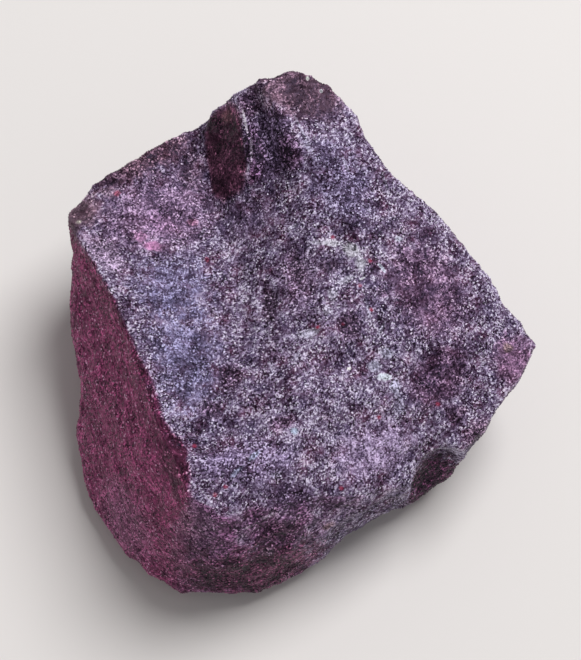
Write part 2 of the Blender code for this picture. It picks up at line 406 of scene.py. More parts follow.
# Where the grains of each piece stand: the range of their face's normal in Z, and the range of their
# X in millimetres.
UPPER, SIDES = (0.62, 1.01), (-0.5, 0.62)
LEFT_PART, RIGHT_PART = (-100.0, -3.0), (-3.0, 100.0)
GRAIN_FIELDS = {
    "grains_upper_left": (UPPER, LEFT_PART, "upper_gap"),
    "grains_upper_right": (UPPER, RIGHT_PART, "upper_gap"),
    "grains_sides_left": (SIDES, LEFT_PART, "side_gap"),
    "grains_sides_right": (SIDES, RIGHT_PART, "side_gap"),
}
GRAIN_CROWDING = 2  # places tried in each square as wide as the gap
LOWEST_GRAIN = 0.6  # no grain stands nearer the table than this
CRYSTAL_HEIGHT = 0.62  # of a crystal corner, as a share of its width
SUNK = 0.34  # the share of its height that a grain is sunk in the mass
SMALL_GRAINS = 1.7  # the power of a random share that gives a grain's width, so that small ones are commoner
LEAN_SEED, WIDTH_SEED, SHADE_SEED = 1, 2, 3


def grain_tree(sizes):
    """Stands the corners of small crystals all over part of a surface, each with a size, turn and lean."""
    tree, given = modifier_tree("Crystal corners", sizes)
    position = add(tree, "GeometryNodeInputPosition")
    facing = add(tree, "GeometryNodeInputNamedAttribute", {"Name": "facing"}, data_type="FLOAT_VECTOR")
    facing_up = add(tree, "ShaderNodeSeparateXYZ", {0: facing}, out=2)
    across = add(tree, "ShaderNodeSeparateXYZ", {0: position}, out=0)
    height = add(tree, "ShaderNodeSeparateXYZ", {0: position}, out=2)
    chosen = add(tree, "FunctionNodeCompare", {0: height, 1: LOWEST_GRAIN * MM}, operation="GREATER_THAN")
    limits = ((facing_up, "Least facing up", "Most facing up"), (across, "Left limit", "Right limit"))
    for value, low, high in limits:
        for bound, operation in ((low, "GREATER_EQUAL"), (high, "LESS_THAN")):
            passes = add(tree, "FunctionNodeCompare", {0: value, 1: given[bound]}, operation=operation)
            chosen = add(tree, "FunctionNodeBooleanMath", {0: chosen, 1: passes}, operation="AND")
    scatter = tree.nodes.new("GeometryNodeDistributePointsOnFaces")
    scatter.distribute_method = "POISSON"
    tree.links.new(given["Geometry"], scatter.inputs["Mesh"])
    tree.links.new(chosen, scatter.inputs["Selection"])
    tree.links.new(given["Gap"], scatter.inputs["Distance Min"])
    tree.links.new(given["Density"], scatter.inputs["Density Max"])
    tree.links.new(given["Seed"], scatter.inputs["Seed"])
    corner = add(
        tree,
        "GeometryNodeMeshCone",
        {"Vertices": 3, "Radius Top": 0.0, "Radius Bottom": 0.5, "Depth": CRYSTAL_HEIGHT},
        fill_type="NGON",
    )
    down = (0.0, 0.0, -SUNK * CRYSTAL_HEIGHT)
    sunk = add(tree, "GeometryNodeTransform", {"Geometry": corner, "Translation": down})
    upright = add(tree, "FunctionNodeAlignRotationToVector", {"Vector": scatter.outputs["Normal"]}, axis="Z")
    lean = add(
        tree,
        "FunctionNodeRandomValue",
        {"Min": (-1.0, -1.0, -math.pi), "Max": (1.0, 1.0, math.pi), "Seed": LEAN_SEED},
        data_type="FLOAT_VECTOR",
    )
    tilt = add(tree, "ShaderNodeCombineXYZ", {0: given["Tilt"], 1: given["Tilt"], 2: 1.0})
    leaning = add(tree, "ShaderNodeVectorMath", {0: lean, 1: tilt}, operation="MULTIPLY")
    leaning = add(tree, "FunctionNodeEulerToRotation", {0: leaning})
    turned = add(tree, "FunctionNodeRotateRotation", {0: upright, 1: leaning}, rotation_space="LOCAL")
    share = add(tree, "FunctionNodeRandomValue", {2: 0.0, 3: 1.0, "Seed": WIDTH_SEED}, out=1)
    skewed = add(tree, "ShaderNodeMath", {0: share, 1: SMALL_GRAINS}, operation="POWER")
    width = add(
        tree,
        "ShaderNodeMapRange",
        {"Value": skewed, "To Min": given["Least"], "To Max": given["Greatest"]},
    )
    grains = add(
        tree,
        "GeometryNodeInstanceOnPoints",
        {"Points": scatter.outputs["Points"], "Instance": sunk, "Rotation": turned, "Scale": width},
    )
    shade = add(tree, "FunctionNodeRandomValue", {"Seed": SHADE_SEED}, data_type="FLOAT_VECTOR")
    grains = add(
        tree,
        "GeometryNodeStoreNamedAttribute",
        {"Geometry": grains, "Name": "grain", "Value": shade},
        data_type="FLOAT_VECTOR",
        domain="INSTANCE",
    )
    grains = add(tree, "GeometryNodeRealizeInstances", {"Geometry": grains})
    grains = add(
        tree,
        "GeometryNodeSetMaterial",
        {"Geometry": grains, "Material": bpy.data.materials[CORNER_FINISH]},
    )
    add(tree, "NodeGroupOutput", {"Geometry": grains})
    return tree


# --- The ore's finish ----------------------------------------------------------------------------------


class Mark(NamedTuple):
    """A patch of the surface: an ellipsoid round its centre, turned in degrees about Z. lift makes its grains
    paler or darker, in standard steps of the grains' own spread. Its colour goes in by share, and its
    contrast stretches that spread. soft is how much of the ellipsoid fades, and ragged how broken its edge
    is. A boxy mark fills out its corners."""

    centre: tuple
    half_sizes: tuple
    turn: float = 0
    lift: float = 0
    colour: str = ""
    share: float = 0
    contrast: float = 0
    soft: float = 0.6
    ragged: float = 0.5
    boxy: bool = False


# Broad differences in the ore, as it broke and as it has worn, with broad painted light and shade: a painted
# bluish sheen by the ridge, painted shade in and around the notch, in the chip, left of the ridge, along the
# front and under the right edge, and a painted red reflection on the right corner.
ZONES = {
    # Painted bluish sheen: the facet by the ridge is painted paler and bluer, as a reflection of bluish
    # light.
    "painted bluish sheen, upper facet": Mark(
        (-14.6, 3.6, 23.0), (6.8, 6.4, 6), 0, 0.35, "6C6A92", 0.5, -0.35, 0.8, 0.8
    ),
    "painted bluish sheen, facet by the ridge": Mark(
        (-12.9, -6.0, 24.0), (5.8, 10.4, 6), 8, 0.3, "6C6A92", 0.55, -0.35, 0.8, 0.8
    ),
    "worn plateau": Mark((-16.5, 13.5, 20.5), (10, 7, 5), 20, 0.12, "846484", 0.5, -0.25),
    "pale worn edge": Mark((-22.6, 7.8, 22.2), (2.0, 5.5, 3), 38, 0.85, "9D84A0", 0.6, -0.2),
    "earthy corner": Mark((-26.0, 13.9, 20.8), (3.4, 3.6, 3), 0, -0.5, "8A6A74", 0.7, -1.0),
    "pale patch by the corner": Mark((-22.4, 16.2, 20.8), (1.6, 1.1, 1.5), 0, 0.9, "A08090", 0.5, -0.4),
    # Darker along the back edge.
    "darker back edge": Mark((-18.5, 20.8, 20.6), (9.5, 3.2, 3.2), 28, -1.05, "6E4E5C", 0.7, -0.5),
    # Painted shade in and around the notch, whose walls face away from the light: below it, left of it, on
    # its wall, in its hollow and beside the arete.
    "painted shade below the notch": Mark((-6.0, 12.5, 22.5), (6.5, 4.0, 4), 0, -0.15, "64506C", 0.3, -0.4),
    "painted shade left of the notch": Mark((-12.7, 19.6, 19.6), (2.2, 3.6, 2), 0, -1.0, "68505F", 0.4, -0.4, 0.7),
    "painted shade on the notch's wall": Mark((-8.5, 20.5, 22.7), (2.45, 5.6, 6.5), 8, -0.8, "4A2A3A", 0.9, -0.8, 0.2, 0.12, True),
    "painted shade in the notch's hollow": Mark((-3.4, 19.8, 26.8), (3.1, 4.4, 5.0), 10, -0.95, "46384E", 0.6, 0.2, 0.3, 0.2, True),
    "painted shade at the hollow's foot": Mark(
        (-0.8, 18.2, 27.9), (1.7, 2.6, 3.0), 15, -1.3, "4A3348", 0.5, 0.2, 0.4, 0.3
    ),
    "painted shade beside the arete": Mark(
        (-4.9, 19.4, 26.6), (1.4, 4.4, 3.5), 8, -1.3, "4A3348", 0.4, 0.3, 0.5, 0.3
    ),
    "painted shade at the notch's head": Mark((-5.8, 24.6, 27.5), (1.8, 2.2, 2.5), 0, -1.5, "50384C", 0.5),
    "violet shoulder": Mark((4.8, 14.5, 27.8), (5.5, 8.5, 5), 30, -0.35, "685E84", 0.4, 0, 0.8),
    "dull summit": Mark((0.6, 25.4, 29.5), (7.5, 4.2, 4), -10, -0.6, "6A505E", 0.8, -0.9),
    # The chip is dark ore with painted shade in its hollow.
    "dark ore and painted shade in the chip": Mark((16.2, -15.3, 5.7), (4.3, 3.6, 7.3), 0, -2.1, "3E2034", 0.9, 0.0, 0.18, 0.8),
    "pale lip over the chip": Mark(
        (17.0, -13.9, 14.0), (3.0, 1.8, 1.7), 10, 1.4, "A098A8", 0.4, 0.6, 0.6, 0.5
    ),
    "lilac brow": Mark((-5.6, -18.6, 24.6), (8.0, 3.6, 3), 5, 0.05, "7C6690", 0.4),
    "lilac lower right": Mark((9.0, -15.5, 19.5), (8.0, 4.4, 5), 15, 1.15, "80688C", 0.4),
    # Painted shade on the front crest and at the foot of the front; the foot's maroon is partly the ore's own
    # colour and partly painted reflection of red light.
    "painted shade on the front crest": Mark((-0.2, -21.8, 21.6), (5.5, 1.9, 3), -8, -1.1, "5C4866", 0.4, -0.3),
    "painted shade at the front's foot": Mark(
        (-3.0, -28.0, 9.0), (16, 5.5, 10.5), 0, -1.1, "502A3E", 0.9, -0.2, 0.6, 0.8
    ),
    # Painted shade on the left of the ridge, where the left face rolls over.
    "painted shade left of the ridge": Mark((-14.0, -18.5, 23.5), (2.0, 5.5, 4.5), 12, -0.7, "50283C", 0.6, -0.4),
    "dusty foot of the left face": Mark((-20.5, -21.0, 8.0), (6.5, 8.0, 9), 30, 0.3, "604458", 0.5, 0, 0.7),
    # Painted shade under the right edge.
    "painted shade under the right edge": Mark((21.0, -12.2, 16.0), (3.0, 1.5, 3), 50, -0.9, "5A4052", 0.5),
    "dull right flank": Mark((15.0, 3.0, 23.0), (6.0, 9.0, 5), 35, -0.7, "74506C", 0.45, -0.4),
    # Painted red reflection: the right corner is painted paler and pinker.
    "painted red reflection on the right corner": Mark((25.4, -3.8, 17.6), (3.6, 4, 4), 20, 0.2, "886080", 0.7, -0.5),
    "dusky band on the right": Mark((16.6, -6.8, 20.0), (5.8, 4.0, 4), 50, -1.45, "5E4058", 0.5, -0.4),
    "dusky trough": Mark((0.2, 3.4, 25.0), (3.0, 6.0, 3), 10, -0.35, "5C4860", 0.4),
}

# Crusts, blooms, stains and lone bright grains, with painted highlights on the arete and the front lip,
# painted shade in the pits, in the valley and under the lip, and painted light on the swells.
SPOTS = {
    "pink earth, upper lobe": Mark((-18.6, 10.3, 21.3), (1.3, 0.9, 1.2), -25, 1.1, "A4749A", 0.75, -0.5),
    "pink earth, lower lobe": Mark((-16.9, 9.1, 21.3), (1.6, 0.9, 1.2), -10, 1.2, "A87098", 0.8, -0.5),
    "pink haze": Mark((-16.0, 12.4, 20.6), (3.2, 2.8, 1.8), 0, 0.4, "8A6488", 0.45, -0.3, 0.9),
    "pink haze by the notch": Mark((-12.5, 12.7, 20.0), (1.0, 0.7, 1.2), 0, 0.2, "A05C78", 0.5),
    "red fleck in the valley": Mark((-10.6, 7.2, 21.6), (0.35, 0.55, 0.6), 20, 0.4, "B03A5C", 0.8),
    "red fleck at the corner": Mark((-21.4, 16.0, 20.8), (0.6, 0.5, 0.8), 0, 0.3, "A03C58", 0.7),
    "cream grain": Mark((-25.8, 12.3, 21.0), (0.5, 0.45, 0.7), 0, 1.6, "D0C8C0", 0.9),
    "crust, start": Mark((2.4, 7.6, 26.2), (1.5, 0.42, 1.0), 0, 1.4, "94909E", 0.7, -0.3, 0.6, 0.8),
    "crust, top": Mark((4.2, 7.5, 26.3), (1.4, 0.65, 1.0), -5, 1.6, "96939C", 0.85, -0.5, 0.6, 0.8),
    "crust, shoulder": Mark((6.3, 6.5, 26.4), (1.5, 1.1, 1.2), -35, 1.7, "96939C", 0.9, -0.55, 0.6, 0.8),
    "crust, bend": Mark((7.3, 5.1, 26.0), (0.8, 1.5, 1.2), 8, 1.5, "96939E", 0.85, -0.5, 0.6, 0.8),
    "crust, return": Mark((5.6, 3.2, 25.6), (1.6, 0.55, 1.0), 25, 1.3, "908C9A", 0.75, -0.4, 0.6, 0.8),
    "crust, tail": Mark((4.0, 1.2, 26.0), (0.8, 1.2, 1.0), 0, 1.0, "8C8896", 0.7, -0.3),
    "crust, below": Mark((3.4, -0.6, 26.0), (0.8, 0.9, 1.0), 0, 0.9, "8A8694", 0.6),
    "crust patch": Mark((1.4, -3.3, 25.6), (2.0, 0.8, 1.0), 5, 1.1, "908C9C", 0.8, -0.4),
    "crust streak": Mark((8.1, -0.2, 25.1), (0.35, 1.7, 1.0), 10, 1.1, "9490A4", 0.6),
    "crust line": Mark((9.6, -2.4, 24.3), (0.3, 1.7, 1.0), -28, 1.0, "9490A4", 0.6),
    "pale spot on the spine": Mark((-0.1, -6.1, 25.4), (0.5, 0.6, 0.8), 0, 1.3, "A49CB4", 0.6),
    "white streak": Mark((9.8, 4.8, 25.3), (0.9, 0.26, 0.7), -50, 2.0, "D8DCF0", 0.9, 0, 0.4, 0.2),
    "white hook": Mark((7.5, 3.4, 25.4), (0.55, 0.18, 0.6), 35, 2.2, "E8E8F0", 0.9, 0, 0.4, 0.2),
    "white cluster": Mark((11.8, 8.4, 25.4), (0.7, 0.45, 0.8), 0, 1.5, "D0D2E6", 0.8),
    "bloom, upper": Mark((8.8, -6.5, 23.0), (1.2, 0.9, 1.2), 0, 1.5, "A8A6BC", 0.8, -0.1),
    "bloom, core": Mark((10.0, -7.6, 22.4), (1.3, 0.6, 1.0), 10, 2.8, "E4ECF8", 0.9, 0, 0.5, 0.4),
    "bloom, lower": Mark((11.3, -8.5, 21.7), (1.0, 1.4, 1.3), 0, 1.2, "9896AC", 0.7),
    "bloom, above": Mark((10.3, -4.9, 23.0), (1.1, 0.9, 1.2), 0, 0.6, "9492A6", 0.6),
    "bloom, tail": Mark((11.8, -10.6, 21.0), (1.0, 1.6, 1.2), 0, 0.5, "8E8AA2", 0.5),
    "pale arc": Mark((-0.4, 9.8, 25.4), (1.5, 0.3, 1.4), 20, 1.1, "A09AB0", 0.6),
    "white crystal": Mark((5.9, -7.1, 24.0), (0.32, 0.22, 0.6), 20, 2.6, "F0ECEC", 0.95, 0, 0.3, 0.1),
    "white crystal on the summit": Mark(
        (1.2, 27.0, 29.6), (0.3, 0.4, 0.6), 0, 2.2, "DDE4DC", 0.9, 0, 0.4, 0.2
    ),
    "white crystal by the summit": Mark(
        (2.8, 25.6, 29.0), (0.25, 0.3, 0.5), 0, 2.2, "E6EAF0", 0.9, 0, 0.4, 0.2
    ),
    "pale blue spot": Mark((-0.4, -14.9, 25.0), (0.65, 0.55, 0.8), 0, 1.3, "A4B2C8", 0.85, -0.2),
    "pale band, upper": Mark((-4.9, -17.9, 25.1), (1.2, 0.45, 0.9), 45, 1.1, "A2A8C4", 0.8, -0.1),
    "pale band, lower": Mark((-6.8, -19.6, 24.6), (1.3, 0.4, 0.9), 40, 0.9, "9CA0BE", 0.8, -0.1),
    "bright grains on the brow": Mark((-2.4, -19.8, 23.7), (0.9, 0.6, 0.9), 0, 1.3, "C4BCD8", 0.6),
    "pale streak by the notch": Mark((0.6, 20.4, 29.0), (0.24, 2.9, 0.8), 26, 1.2, "A8A2B8", 0.7, -0.2),
    "pale horn by the notch": Mark((1.3, 18.5, 28.7), (0.32, 1.2, 0.8), 35, 1.6, "B0A8C4", 0.7, -0.2),
    "pale streak on the shoulder": Mark((5.6, 16.7, 28.0), (0.28, 1.6, 0.8), 23, 1.1, "A8A2B8", 0.6),
    "pale streak by the edge": Mark((10.2, 15.2, 26.4), (0.28, 2.6, 0.8), 20, 0.5, "A8A2B8", 0.6),
    "pale streak on the plateau": Mark((-11.2, 11.4, 20.4), (0.3, 1.2, 0.8), -12, 0.9, "B0A6C0", 0.6),
    # Painted highlights along the arete and on its knob, where the crest catches the light.
    "painted highlight, arete top": Mark((-6.1, 22.4, 27.2), (0.22, 2.4, 1.4), 12, 2.4, "8A868C", 0.7, -0.4, 0.5, 0.1),
    "painted highlight, arete foot": Mark((-5.4, 19.3, 26.7), (0.28, 2.3, 2.4), 0, 2.9, "948C98", 0.6, -0.4, 0.5, 0.2),
    "painted highlight, knob on the arete": Mark((-5.9, 16.8, 24.4), (0.6, 0.9, 1.2), 0, 1.6, "A094AC", 0.5, -0.3),
    "tinted notch top": Mark((-8.4, 24.4, 24.6), (1.3, 1.1, 1.6), 0, 0.9, "5C4044", 0.7),
    # Painted highlights on the lip across the front.
    "painted highlight on the lip, left": Mark((-5.6, -24.6, 19.9), (0.9, 0.5, 0.3), 25, 1.5, "A89CAC", 0.7, 0, 0.5, 0.2),
    "painted highlight on the lip, right": Mark((-3.4, -23.6, 20.6), (1.5, 0.5, 0.3), 12, 1.6, "B0A4B4", 0.7, 0, 0.5, 0.2),
    "speckled shelf": Mark((-3.4, -26.2, 14.4), (1.3, 0.9, 1.1), 0, 1.2, "A89CAC", 0.5),
    "beige earth": Mark((3.6, -23.1, 14.4), (1.1, 0.9, 0.9), 0, 0.8, "A88890", 0.8, -0.3),
    "olive stain": Mark((24.7, -2.4, 18.1), (0.9, 0.7, 0.9), 0, -0.2, "6E5C58", 0.7),
    # Painted shade in the pits and the valley, and painted light on the swells, from here to the end of the
    # table.
    "dark pit beside the valley": Mark((-7.6, -7.9, 23.7), (1.9, 2.4, 2.0), -10, -1.35, "503C50", 0.5),
    "dark pit at the valley's foot": Mark((-9.9, -12.1, 24.1), (1.7, 1.5, 1.6), 0, -1.35, "503C50", 0.5),
    "dark pit on the spine": Mark((-1.8, -13.9, 25.1), (1.9, 1.2, 2.0), 10, -1.4, "4C384A", 0.5),
    "dark pit left of the trough": Mark((-3.2, 0.9, 23.8), (1.3, 3.4, 2.0), 8, -1.4, "50404F", 0.4),
    "dark pit in the trough": Mark((0.0, 4.6, 25.2), (1.1, 2.8, 1.5), 10, -1.3, "50404F", 0.4),
    "dark pit under the crust": Mark((3.6, 4.7, 26.0), (1.7, 1.1, 1.4), 0, -1.4, "50404F", 0.4),
    "dark pit on the shoulder": Mark((2.2, 11.8, 26.8), (1.2, 0.9, 1.5), 0, -0.8),
    "dark pit by the crust patch": Mark((-2.2, -3.0, 24.6), (1.3, 1.5, 1.4), 0, -1.5),
    "painted shade in a pit by the sheen": Mark((-7.3, 0.9, 22.4), (1.2, 1.2, 1.4), 0, -0.9),
    "dark pit by the notch's foot": Mark((0.2, 14.8, 26.9), (1.2, 1.0, 1.4), 0, -0.8),
    "dark pit above the bloom": Mark((10.0, -0.8, 24.3), (1.2, 1.8, 1.5), 0, -1.5),
    "dark pit right of the bloom": Mark((15.9, -6.8, 20.5), (1.6, 1.4, 1.5), 0, -0.8),
    "dark pit by the right edge": Mark((18.6, -10.3, 17.8), (1.8, 1.5, 1.6), 0, -1.3, "50384A", 0.4),
    "dark pit on the front crest": Mark((5.0, -19.7, 19.2), (1.4, 0.9, 1.5), 0, -1.1),
    "pale swell on the right": Mark((13.7, 7.2, 24.4), (1.7, 2.0, 1.5), 0, 2.2),
    "pale swell on the flank": Mark((13.5, 2.1, 24.0), (1.3, 1.2, 1.5), 0, 0.8),
    "pale swell by the right corner": Mark((17.6, -4.0, 20.6), (2.4, 1.0, 1.8), 0, 0.9),
    "pale swell on the summit": Mark((-1.6, 23.0, 29.2), (1.2, 2.4, 1.5), 30, 0.9),
    "pale swell below the summit": Mark((2.7, 16.6, 28.2), (1.5, 1.3, 1.5), 0, 1.1),
    "pale swell on the low spine": Mark((-1.0, -10.9, 25.5), (1.2, 1.1, 1.5), 0, 0.7),
    "pale swell on the plateau": Mark((-19.9, 11.6, 21.3), (1.6, 1.3, 1.5), 0, 0.9),
    "pale swell on the far right": Mark((15.2, 5.8, 23.6), (1.3, 1.1, 1.5), 0, 1.2),
    "pale swell on the spine": Mark((1.0, -17.6, 22.8), (1.8, 1.4, 1.5), 0, 1.8),
    "pale swell by the trough": Mark((-2.6, 7.8, 24.4), (1.9, 1.3, 1.5), 0, 1.5),
    "pale swell in the valley": Mark((-7.1, 5.2, 21.9), (1.2, 1.2, 1.5), 0, 1.15),
    "pale swell by the ridge": Mark((-17.9, 6.5, 22.1), (2.3, 1.3, 1.5), 0, 1.2),
    "dark pit by the bloom": Mark((4.8, -7.2, 24.6), (1.1, 1.1, 1.5), 0, -0.8),
    "dark pit on the right flank": Mark((13.6, -3.2, 22.9), (1.8, 2.4, 1.7), 0, -1.2),
    "dark pit on the low spine": Mark((-3.8, -11.1, 24.8), (2.0, 1.4, 1.5), 0, -1.35),
    "painted shade in the valley": Mark((-10.4, -9.6, 24.0), (1.4, 3.2, 2.0), -12, -0.9),
    "dark pit by the pale arc": Mark((3.6, 9.3, 26.4), (1.2, 0.9, 1.5), 0, -0.8),
    "dark pit on the lower spine": Mark((4.8, -11.0, 24.5), (1.2, 1.0, 1.5), 0, -0.8),
    "dark pit behind the brow": Mark((-2.1, -16.6, 25.0), (1.5, 1.0, 1.5), 0, -1.3),
    "dark pit on the facet's rim": Mark((-9.7, 0.3, 22.2), (1.1, 1.2, 1.4), 0, -0.8),
    "dark pit over the front": Mark((6.9, -18.9, 18.5), (1.3, 1.0, 1.5), 0, -0.9),
    "dark pit on the front": Mark((5.9, -21.6, 14.8), (1.4, 1.2, 1.6), 0, -0.7),
    "pale swell by the band": Mark((15.1, -9.6, 20.0), (1.2, 1.0, 1.5), 0, 0.9),
    "pale swell below the bloom": Mark((3.7, -12.8, 23.2), (1.3, 1.1, 1.5), 0, 0.9),
    "pale swell on the crest": Mark((-1.5, -5.7, 24.9), (1.2, 1.0, 1.5), 0, 0.9),
    "pale swell by the valley": Mark((-3.5, 5.5, 23.9), (1.1, 1.1, 1.5), 0, 0.8),
    "dark pit on the brow": Mark((-5.0, -19.8, 24.2), (1.4, 0.6, 1.3), 30, -0.8),
    "dark pit right of the spine": Mark((6.0, -2.3, 25.5), (1.8, 2.3, 2.0), 0, -1.4, "4E3A4C", 0.5),
    "dark pit by the crust": Mark((9.8, 2.0, 25.0), (1.0, 1.0, 1.6), 0, -1.0, "4E3A4C", 0.4),
    # Painted shade under the lip across the front.
    "painted shade under the lip": Mark((-1.6, -25.0, 17.4), (4.5, 2.2, 1.6), 15, -0.4, "4E3442", 0.4),
}

# Grains of fresh red cinnabar that stand alone.
RED_FLECKS = {
    "above the crust": (4.1, 8.2, 26.4),
    "crust's shoulder": (8.4, 5.5, 25.8),
    "crust's bend": (7.2, 2.5, 25.4),
    "crust patch": (2.3, -2.7, 25.9),
    "spine": (5.3, -2.2, 25.8),
    "right of the spine": (8.5, -0.3, 25.1),
    "right": (16.3, -9.7, 19.0),
    "lower right": (9.4, -12.0, 21.1),
    "front edge": (5.0, -19.9, 19.1),
    "left brow": (-11.7, -16.3, 23.8),
    "middle brow": (-8.1, -21.2, 24.1),
    "brow's corner": (-9.3, -22.1, 23.9),
}
RED_FLECK_SIZE = (0.34, 0.3, 0.5)
RED_FLECK_EDGE = (0.3, 1.1)  # a fleck fades out over this span of shares of its half sizes
RED_FLECK_SHARE = 0.65

# A face of the block is told by the way it faces, or by the side of the ridge that it is on.
FRONT_FACE = Vector((0.0, -0.92, 0.39)).normalized()
FRONT_BLEND = (0.82, 1.0)  # the front blends into the next face over this span of cosines
FRONT_CREST = (-23.5, -20.5)  # the ridge gets blunt over this span of Y, at the front
SOFTENED = 0.06  # how sharp it stays, as a share
FRONT_RIGHT = (0.0, 12.0)  # the front's colour fades out over this span of X
RIDGE_SOFT = (-0.3, 0.3)  # the left face's colour fades out over this span past the ridge
RIDGE_RAG = 1.2  # how far the edge of that colour wanders, for each unit of the ragged noise
RIDGE_TURN = 23  # degrees between the ridge and Y
# The maroon of the left and front faces is partly the ore's own colour and partly painted reflection of red
# light.
LEFT_MAROON_AND_RED_REFLECTION = "5C2A44"
FRONT_MAROON_AND_RED_REFLECTION = "4C3148"

# Widths of the patterns in the ore.
CLUSTER_WIDTH = 2.6  # groups of mostly pale, or mostly dark, grains
RAG_WIDTH = 0.9  # bites out of the edges of marks
SWING_WIDTH = 2.0  # patches where the grains differ more, or less
STREAK_WIDTH = 0.35  # streaks down the left face
FILM_WIDTH = 1.5  # from one pale film to the next
TARNISH_WIDTH = 2.2  # patches of tarnish
PITTING_WIDTH = 0.12  # the finest relief, on each grain

# What raises or lowers the shade of the grains, in standard steps of their own spread.
EVEN_LIFT = -0.32  # everywhere
CLUSTER_LIFT = 7.5  # for each unit of the cluster noise
LEFT_CALM = -0.5  # so that the left face keeps only half of those two
LEFT_LIFT = 0.48
FRONT_LIFT = -0.2
# Painted shade: the left face is painted darker where it turns upwards, where the lamp would light it.
LIP_PAINTED_SHADE = -1.4  # where the left face turns upwards
LIP_FACING = (0.4, 0.8)  # the span of the normal's Z over which it does
STREAK_LIFT = (-0.3, 1.2)
STREAK_SPAN = (0.45, 0.75)  # of the streak noise
STREAK_STRETCH = (1.0, 0.2, 1.0)
# Painted light and shade: grains are painted paler where the surface stands proud and darker where it lies in
# a hollow.
CREST_PAINTED_LIGHT_AND_SHADE = 2.5  # for each millimetre that a place stands proud of those round it
FILM_LIFT = 1.6
FILM_HALF_WIDTH = 0.03  # of the film noise, to each side of its middle value
FILM_SPAN = (0.42, 0.56)  # of the cluster noise, where films begin to lie
# Painted glints: a few grains are painted paler, and keep less of the faces' tint.
PAINTED_GLINT_SPAN = (0.955, 0.975)  # a grain sparks as its third random number passes this span
PAINTED_GLINT_LIFT = 1.4
SIDE_FACES_GLINT_LIFT = 1.0  # more, on the left and front faces
PAINTED_GLINT_TINT = -0.5  # so that a spark takes only half of the faces' tint

# How much the shades of the grains differ, as a multiple of their own spread.
SWING = (1.0, 2.1)
SWING_SPAN = (0.3, 0.7)  # of the swing noise
LEFT_CONTRAST = -0.65
FRONT_CONTRAST = -0.3

# The colour of a grain at each step of its shade, by the name of the setting that holds it.
SHADES = ((-3.0, "pit"), (-2.0, "dark"), (-0.9, "dull"), (0.0, "common"), (1.2, "pale"), (3.0, "bright"))

# Tarnish: the span of its noise, its tint, and the most of it on a dark grain.
TARNISH = {
    "crimson": ((0.52, 0.68), "6E2C4A", 0.6),
    "steely": ((0.48, 0.34), "5E5A88", 0.45),
}
TARNISH_STEPS = (-1.0, 1.2)  # it fades out over these steps of shade
TARNISH_LEAST = 0.15

# The gloss, matched to the look and not to the mineral: cinnabar's own index is near 3. The index and the
# level are both lowered, because a stronger gloss veiled the dark grains with a pale shine.
POLISH = (0.28, 0.6)  # roughness of the best and the worst polished grains
INDEX = 1.55
SPECULAR_LEVEL = 0.15
SPECULAR_TINT = "C8BCF0"
BUMP_STRENGTH = 0.6
BUMP_DEPTH = 0.25  # of a grain's width, for each unit of height
PITTING_HEIGHT = 0.5  # units of height, for each unit of the pitting noise


def noise_about_zero(tree, noise):
    return add(tree, "ShaderNodeMath", {0: noise, 1: -0.5}, operation="ADD")


def block_faces(tree, place, facing, rag):
    """How far each place belongs to the left face, to the maroon part of the front face, and to anything but
    the left face, each from 0 to 1."""
    cosine = add(tree, "ShaderNodeVectorMath", {0: facing, 1: FRONT_FACE}, out=1, operation="DOT_PRODUCT")
    front = add(
        tree,
        "ShaderNodeMapRange",
        {"Value": cosine, **span(*FRONT_BLEND)},
        interpolation_type="SMOOTHSTEP",
    )
    past = past_ridge(tree, place)
    side = add(tree, "ShaderNodeMath", {0: rag, 1: RIDGE_RAG, 2: past}, operation="MULTIPLY_ADD")
    along_y = add(tree, "ShaderNodeSeparateXYZ", {0: place}, out=1)
    sharp = add(tree, "ShaderNodeMapRange", {"Value": along_y, **span(*FRONT_CREST, SOFTENED)})
    side = add(tree, "ShaderNodeMath", {0: side, 1: sharp}, operation="MULTIPLY")
    left = add(
        tree,
        "ShaderNodeMapRange",
        {"Value": side, **span(*RIDGE_SOFT, 1.0, 0.0)},
        interpolation_type="SMOOTHSTEP",
    )
    not_left = add(tree, "ShaderNodeMath", {0: 1.0, 1: left}, operation="SUBTRACT")
    along_x = add(tree, "ShaderNodeSeparateXYZ", {0: place}, out=0)
    maroon = add(tree, "ShaderNodeMapRange", {"Value": along_x, **span(*FRONT_RIGHT, 1.0, 0.0)})
    maroon = add(tree, "ShaderNodeMath", {0: not_left, 1: maroon}, operation="MULTIPLY")
    front = add(tree, "ShaderNodeMath", {0: front, 1: maroon}, operation="MULTIPLY")
    return left, front, not_left


def face_contrast(tree, place, left, front):
    """How much the shades of the grains differ: in patches, and less on the left and front faces."""
    noise = add(tree, "ShaderNodeTexNoise", {"Vector": place, "Scale": 1 / SWING_WIDTH, "Detail": 2.0})
    contrast = add(tree, "ShaderNodeMapRange", {"Value": noise, **span(*SWING_SPAN, *SWING)})
    for share, amount in ((left, LEFT_CONTRAST), (front, FRONT_CONTRAST)):
        contrast = add(tree, "ShaderNodeMath", {0: share, 1: amount, 2: contrast}, operation="MULTIPLY_ADD")
    return contrast


def left_streaks(tree, place):
    """Fine streaks that run along the ridge."""
    along = add(
        tree,
        "ShaderNodeVectorRotate",
        {"Vector": place, "Angle": -math.radians(RIDGE_TURN)},
        rotation_type="Z_AXIS",
    )
    along = add(tree, "ShaderNodeVectorMath", {0: along, 1: STREAK_STRETCH}, operation="MULTIPLY")
    noise = add(tree, "ShaderNodeTexNoise", {"Vector": along, "Scale": 1 / STREAK_WIDTH, "Detail": 2.0})
    return add(tree, "ShaderNodeMapRange", {"Value": noise, **span(*STREAK_SPAN, *STREAK_LIFT)})


